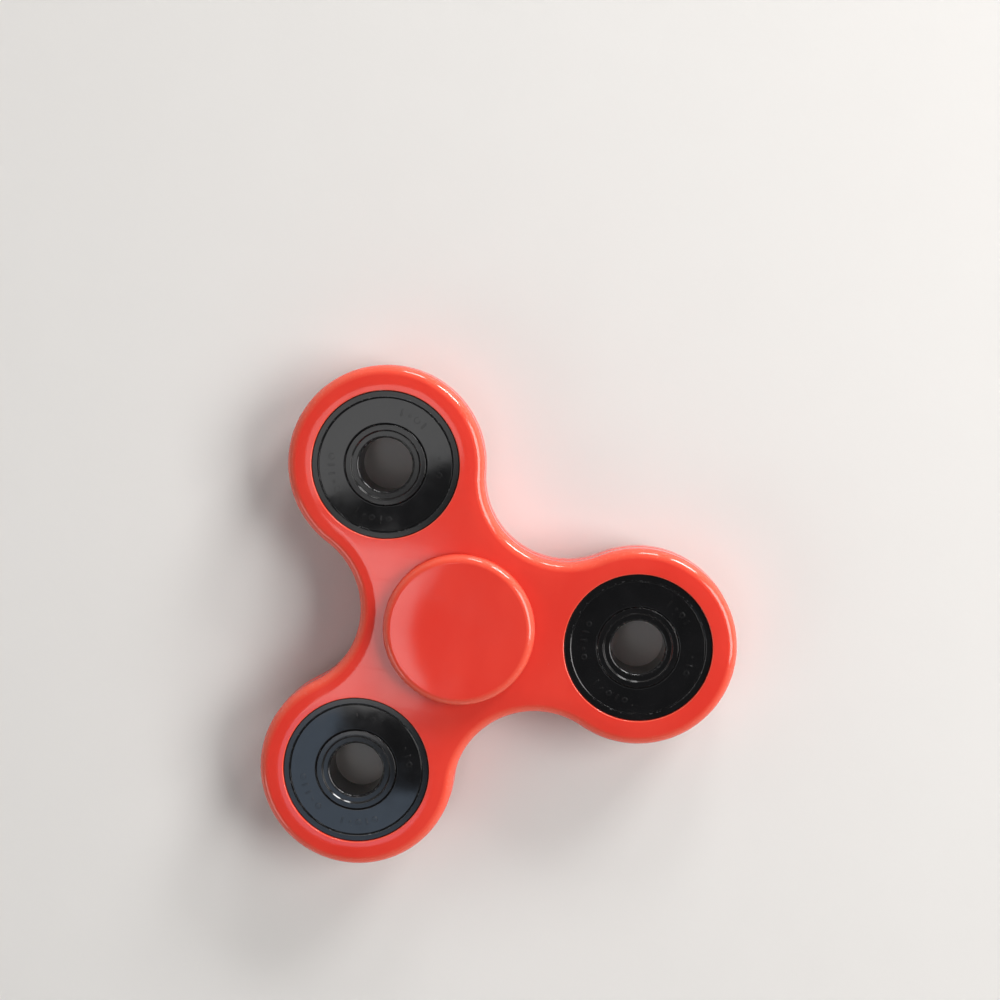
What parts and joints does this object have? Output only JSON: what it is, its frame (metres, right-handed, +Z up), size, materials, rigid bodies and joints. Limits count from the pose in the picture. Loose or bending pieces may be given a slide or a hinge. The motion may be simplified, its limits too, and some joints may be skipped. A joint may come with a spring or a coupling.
{
  "type": "fidget spinner",
  "caption": "Flat lobed hand spinner: a moulded body turns on a ball bearing between finger caps, with a sealed bearing in each lobe.",
  "frame": {"origin": "centre of the lower finger cap's outer face, on the spin axis", "axes": "+Z up along the spin axis and out of the upper cap, +X from the spin axis towards the first lobe"},
  "size_m": [0.0695, 0.0758, 0.0122],
  "materials": {
    "body_plastic": "glossy moulded red",
    "cap_plastic": "glossy moulded red",
    "black_ring_steel": "blackened steel, satin",
    "ring_steel": "ground bearing steel",
    "ball_steel": "polished bearing steel",
    "shield_steel": "pressed steel sheet",
    "cage_plastic": "natural nylon",
    "seal_rubber": "smooth black rubber"
  },
  "bodies": {
    "hub": {"cap_top": "cap_plastic", "cap_bottom": "cap_plastic", "hub_inner_ring": "ring_steel"},
    "rotor": {"body": "body_plastic", "hub_outer_ring": "ring_steel", "hub_shield_top": "shield_steel", "hub_shield_bottom": "shield_steel", "lobe1_outer_ring": "black_ring_steel", "lobe1_seal_top": "seal_rubber", "lobe1_seal_bottom": "seal_rubber", "lobe2_outer_ring": "black_ring_steel", "lobe2_seal_top": "seal_rubber", "lobe2_seal_bottom": "seal_rubber", "lobe3_outer_ring": "black_ring_steel", "lobe3_seal_top": "seal_rubber", "lobe3_seal_bottom": "seal_rubber"},
    "hub_cage": {"hub_cage": "cage_plastic"},
    "hub_ball_1": {"hub_ball_1": "ball_steel"},
    "hub_ball_2": {"hub_ball_2": "ball_steel"},
    "hub_ball_3": {"hub_ball_3": "ball_steel"},
    "hub_ball_4": {"hub_ball_4": "ball_steel"},
    "hub_ball_5": {"hub_ball_5": "ball_steel"},
    "hub_ball_6": {"hub_ball_6": "ball_steel"},
    "hub_ball_7": {"hub_ball_7": "ball_steel"},
    "lobe1_inner": {"lobe1_inner_ring": "black_ring_steel"},
    "lobe1_cage": {"lobe1_cage": "cage_plastic"},
    "lobe1_ball_1": {"lobe1_ball_1": "ball_steel"},
    "lobe1_ball_2": {"lobe1_ball_2": "ball_steel"},
    "lobe1_ball_3": {"lobe1_ball_3": "ball_steel"},
    "lobe1_ball_4": {"lobe1_ball_4": "ball_steel"},
    "lobe1_ball_5": {"lobe1_ball_5": "ball_steel"},
    "lobe1_ball_6": {"lobe1_ball_6": "ball_steel"},
    "lobe1_ball_7": {"lobe1_ball_7": "ball_steel"},
    "lobe2_inner": {"lobe2_inner_ring": "black_ring_steel"},
    "lobe2_cage": {"lobe2_cage": "cage_plastic"},
    "lobe2_ball_1": {"lobe2_ball_1": "ball_steel"},
    "lobe2_ball_2": {"lobe2_ball_2": "ball_steel"},
    "lobe2_ball_3": {"lobe2_ball_3": "ball_steel"},
    "lobe2_ball_4": {"lobe2_ball_4": "ball_steel"},
    "lobe2_ball_5": {"lobe2_ball_5": "ball_steel"},
    "lobe2_ball_6": {"lobe2_ball_6": "ball_steel"},
    "lobe2_ball_7": {"lobe2_ball_7": "ball_steel"},
    "lobe3_inner": {"lobe3_inner_ring": "black_ring_steel"},
    "lobe3_cage": {"lobe3_cage": "cage_plastic"},
    "lobe3_ball_1": {"lobe3_ball_1": "ball_steel"},
    "lobe3_ball_2": {"lobe3_ball_2": "ball_steel"},
    "lobe3_ball_3": {"lobe3_ball_3": "ball_steel"},
    "lobe3_ball_4": {"lobe3_ball_4": "ball_steel"},
    "lobe3_ball_5": {"lobe3_ball_5": "ball_steel"},
    "lobe3_ball_6": {"lobe3_ball_6": "ball_steel"},
    "lobe3_ball_7": {"lobe3_ball_7": "ball_steel"}
  },
  "joints": [
    {"name": "rotor_spin", "type": "hinge", "parent": "hub", "child": "rotor", "pos_m": [0, 0, 0.0061], "axis": [0, 0, 1], "continuous": true},
    {"name": "hub_cage_orbit", "type": "hinge", "parent": "hub", "child": "hub_cage", "pos_m": [0, 0, 0.0061], "axis": [0, 0, 1], "continuous": true},
    {"name": "hub_ball_1_roll", "type": "hinge", "parent": "hub_cage", "child": "hub_ball_1", "pos_m": [0.00468, 0.00586, 0.0061], "axis": [0, 0, 1], "continuous": true},
    {"name": "hub_ball_2_roll", "type": "hinge", "parent": "hub_cage", "child": "hub_ball_2", "pos_m": [-0.00167, 0.00731, 0.0061], "axis": [0, 0, 1], "continuous": true},
    {"name": "hub_ball_3_roll", "type": "hinge", "parent": "hub_cage", "child": "hub_ball_3", "pos_m": [-0.00676, 0.00325, 0.0061], "axis": [0, 0, 1], "continuous": true},
    {"name": "hub_ball_4_roll", "type": "hinge", "parent": "hub_cage", "child": "hub_ball_4", "pos_m": [-0.00676, -0.00325, 0.0061], "axis": [0, 0, 1], "continuous": true},
    {"name": "hub_ball_5_roll", "type": "hinge", "parent": "hub_cage", "child": "hub_ball_5", "pos_m": [-0.00167, -0.00731, 0.0061], "axis": [0, 0, 1], "continuous": true},
    {"name": "hub_ball_6_roll", "type": "hinge", "parent": "hub_cage", "child": "hub_ball_6", "pos_m": [0.00468, -0.00586, 0.0061], "axis": [0, 0, 1], "continuous": true},
    {"name": "hub_ball_7_roll", "type": "hinge", "parent": "hub_cage", "child": "hub_ball_7", "pos_m": [0.0075, 0, 0.0061], "axis": [0, 0, 1], "continuous": true},
    {"name": "lobe1_spin", "type": "hinge", "parent": "rotor", "child": "lobe1_inner", "pos_m": [0.0267, 0, 0.0061], "axis": [0, 0, 1], "continuous": true},
    {"name": "lobe1_cage_orbit", "type": "hinge", "parent": "rotor", "child": "lobe1_cage", "pos_m": [0.0267, 0, 0.0061], "axis": [0, 0, 1], "continuous": true},
    {"name": "lobe1_ball_1_roll", "type": "hinge", "parent": "lobe1_cage", "child": "lobe1_ball_1", "pos_m": [0.03138, 0.00586, 0.0061], "axis": [0, 0, 1], "continuous": true},
    {"name": "lobe1_ball_2_roll", "type": "hinge", "parent": "lobe1_cage", "child": "lobe1_ball_2", "pos_m": [0.02503, 0.00731, 0.0061], "axis": [0, 0, 1], "continuous": true},
    {"name": "lobe1_ball_3_roll", "type": "hinge", "parent": "lobe1_cage", "child": "lobe1_ball_3", "pos_m": [0.01994, 0.00325, 0.0061], "axis": [0, 0, 1], "continuous": true},
    {"name": "lobe1_ball_4_roll", "type": "hinge", "parent": "lobe1_cage", "child": "lobe1_ball_4", "pos_m": [0.01994, -0.00325, 0.0061], "axis": [0, 0, 1], "continuous": true},
    {"name": "lobe1_ball_5_roll", "type": "hinge", "parent": "lobe1_cage", "child": "lobe1_ball_5", "pos_m": [0.02503, -0.00731, 0.0061], "axis": [0, 0, 1], "continuous": true},
    {"name": "lobe1_ball_6_roll", "type": "hinge", "parent": "lobe1_cage", "child": "lobe1_ball_6", "pos_m": [0.03138, -0.00586, 0.0061], "axis": [0, 0, 1], "continuous": true},
    {"name": "lobe1_ball_7_roll", "type": "hinge", "parent": "lobe1_cage", "child": "lobe1_ball_7", "pos_m": [0.0342, 0, 0.0061], "axis": [0, 0, 1], "continuous": true},
    {"name": "lobe2_spin", "type": "hinge", "parent": "rotor", "child": "lobe2_inner", "pos_m": [-0.01335, 0.02312, 0.0061], "axis": [0, 0, 1], "continuous": true},
    {"name": "lobe2_cage_orbit", "type": "hinge", "parent": "rotor", "child": "lobe2_cage", "pos_m": [-0.01335, 0.02312, 0.0061], "axis": [0, 0, 1], "continuous": true},
    {"name": "lobe2_ball_1_roll", "type": "hinge", "parent": "lobe2_cage", "child": "lobe2_ball_1", "pos_m": [-0.00867, 0.02899, 0.0061], "axis": [0, 0, 1], "continuous": true},
    {"name": "lobe2_ball_2_roll", "type": "hinge", "parent": "lobe2_cage", "child": "lobe2_ball_2", "pos_m": [-0.01502, 0.03043, 0.0061], "axis": [0, 0, 1], "continuous": true},
    {"name": "lobe2_ball_3_roll", "type": "hinge", "parent": "lobe2_cage", "child": "lobe2_ball_3", "pos_m": [-0.02011, 0.02638, 0.0061], "axis": [0, 0, 1], "continuous": true},
    {"name": "lobe2_ball_4_roll", "type": "hinge", "parent": "lobe2_cage", "child": "lobe2_ball_4", "pos_m": [-0.02011, 0.01987, 0.0061], "axis": [0, 0, 1], "continuous": true},
    {"name": "lobe2_ball_5_roll", "type": "hinge", "parent": "lobe2_cage", "child": "lobe2_ball_5", "pos_m": [-0.01502, 0.01581, 0.0061], "axis": [0, 0, 1], "continuous": true},
    {"name": "lobe2_ball_6_roll", "type": "hinge", "parent": "lobe2_cage", "child": "lobe2_ball_6", "pos_m": [-0.00867, 0.01726, 0.0061], "axis": [0, 0, 1], "continuous": true},
    {"name": "lobe2_ball_7_roll", "type": "hinge", "parent": "lobe2_cage", "child": "lobe2_ball_7", "pos_m": [-0.00585, 0.02312, 0.0061], "axis": [0, 0, 1], "continuous": true},
    {"name": "lobe3_spin", "type": "hinge", "parent": "rotor", "child": "lobe3_inner", "pos_m": [-0.01335, -0.02312, 0.0061], "axis": [0, 0, 1], "continuous": true},
    {"name": "lobe3_cage_orbit", "type": "hinge", "parent": "rotor", "child": "lobe3_cage", "pos_m": [-0.01335, -0.02312, 0.0061], "axis": [0, 0, 1], "continuous": true},
    {"name": "lobe3_ball_1_roll", "type": "hinge", "parent": "lobe3_cage", "child": "lobe3_ball_1", "pos_m": [-0.00867, -0.01726, 0.0061], "axis": [0, 0, 1], "continuous": true},
    {"name": "lobe3_ball_2_roll", "type": "hinge", "parent": "lobe3_cage", "child": "lobe3_ball_2", "pos_m": [-0.01502, -0.01581, 0.0061], "axis": [0, 0, 1], "continuous": true},
    {"name": "lobe3_ball_3_roll", "type": "hinge", "parent": "lobe3_cage", "child": "lobe3_ball_3", "pos_m": [-0.02011, -0.01987, 0.0061], "axis": [0, 0, 1], "continuous": true},
    {"name": "lobe3_ball_4_roll", "type": "hinge", "parent": "lobe3_cage", "child": "lobe3_ball_4", "pos_m": [-0.02011, -0.02638, 0.0061], "axis": [0, 0, 1], "continuous": true},
    {"name": "lobe3_ball_5_roll", "type": "hinge", "parent": "lobe3_cage", "child": "lobe3_ball_5", "pos_m": [-0.01502, -0.03043, 0.0061], "axis": [0, 0, 1], "continuous": true},
    {"name": "lobe3_ball_6_roll", "type": "hinge", "parent": "lobe3_cage", "child": "lobe3_ball_6", "pos_m": [-0.00867, -0.02899, 0.0061], "axis": [0, 0, 1], "continuous": true},
    {"name": "lobe3_ball_7_roll", "type": "hinge", "parent": "lobe3_cage", "child": "lobe3_ball_7", "pos_m": [-0.00585, -0.02312, 0.0061], "axis": [0, 0, 1], "continuous": true}
  ],
  "couplings": [
    {"joint": "hub_cage_orbit", "follows": "rotor_spin", "ratio": 0.6323},
    {"joint": "hub_ball_1_roll", "follows": "rotor_spin", "ratio": 1.7573},
    {"joint": "hub_ball_2_roll", "follows": "rotor_spin", "ratio": 1.7573},
    {"joint": "hub_ball_3_roll", "follows": "rotor_spin", "ratio": 1.7573},
    {"joint": "hub_ball_4_roll", "follows": "rotor_spin", "ratio": 1.7573},
    {"joint": "hub_ball_5_roll", "follows": "rotor_spin", "ratio": 1.7573},
    {"joint": "hub_ball_6_roll", "follows": "rotor_spin", "ratio": 1.7573},
    {"joint": "hub_ball_7_roll", "follows": "rotor_spin", "ratio": 1.7573},
    {"joint": "lobe1_cage_orbit", "follows": "lobe1_spin", "ratio": 0.3677},
    {"joint": "lobe1_ball_1_roll", "follows": "lobe1_spin", "ratio": -1.7573},
    {"joint": "lobe1_ball_2_roll", "follows": "lobe1_spin", "ratio": -1.7573},
    {"joint": "lobe1_ball_3_roll", "follows": "lobe1_spin", "ratio": -1.7573},
    {"joint": "lobe1_ball_4_roll", "follows": "lobe1_spin", "ratio": -1.7573},
    {"joint": "lobe1_ball_5_roll", "follows": "lobe1_spin", "ratio": -1.7573},
    {"joint": "lobe1_ball_6_roll", "follows": "lobe1_spin", "ratio": -1.7573},
    {"joint": "lobe1_ball_7_roll", "follows": "lobe1_spin", "ratio": -1.7573},
    {"joint": "lobe2_cage_orbit", "follows": "lobe2_spin", "ratio": 0.3677},
    {"joint": "lobe2_ball_1_roll", "follows": "lobe2_spin", "ratio": -1.7573},
    {"joint": "lobe2_ball_2_roll", "follows": "lobe2_spin", "ratio": -1.7573},
    {"joint": "lobe2_ball_3_roll", "follows": "lobe2_spin", "ratio": -1.7573},
    {"joint": "lobe2_ball_4_roll", "follows": "lobe2_spin", "ratio": -1.7573},
    {"joint": "lobe2_ball_5_roll", "follows": "lobe2_spin", "ratio": -1.7573},
    {"joint": "lobe2_ball_6_roll", "follows": "lobe2_spin", "ratio": -1.7573},
    {"joint": "lobe2_ball_7_roll", "follows": "lobe2_spin", "ratio": -1.7573},
    {"joint": "lobe3_cage_orbit", "follows": "lobe3_spin", "ratio": 0.3677},
    {"joint": "lobe3_ball_1_roll", "follows": "lobe3_spin", "ratio": -1.7573},
    {"joint": "lobe3_ball_2_roll", "follows": "lobe3_spin", "ratio": -1.7573},
    {"joint": "lobe3_ball_3_roll", "follows": "lobe3_spin", "ratio": -1.7573},
    {"joint": "lobe3_ball_4_roll", "follows": "lobe3_spin", "ratio": -1.7573},
    {"joint": "lobe3_ball_5_roll", "follows": "lobe3_spin", "ratio": -1.7573},
    {"joint": "lobe3_ball_6_roll", "follows": "lobe3_spin", "ratio": -1.7573},
    {"joint": "lobe3_ball_7_roll", "follows": "lobe3_spin", "ratio": -1.7573}
  ]
}
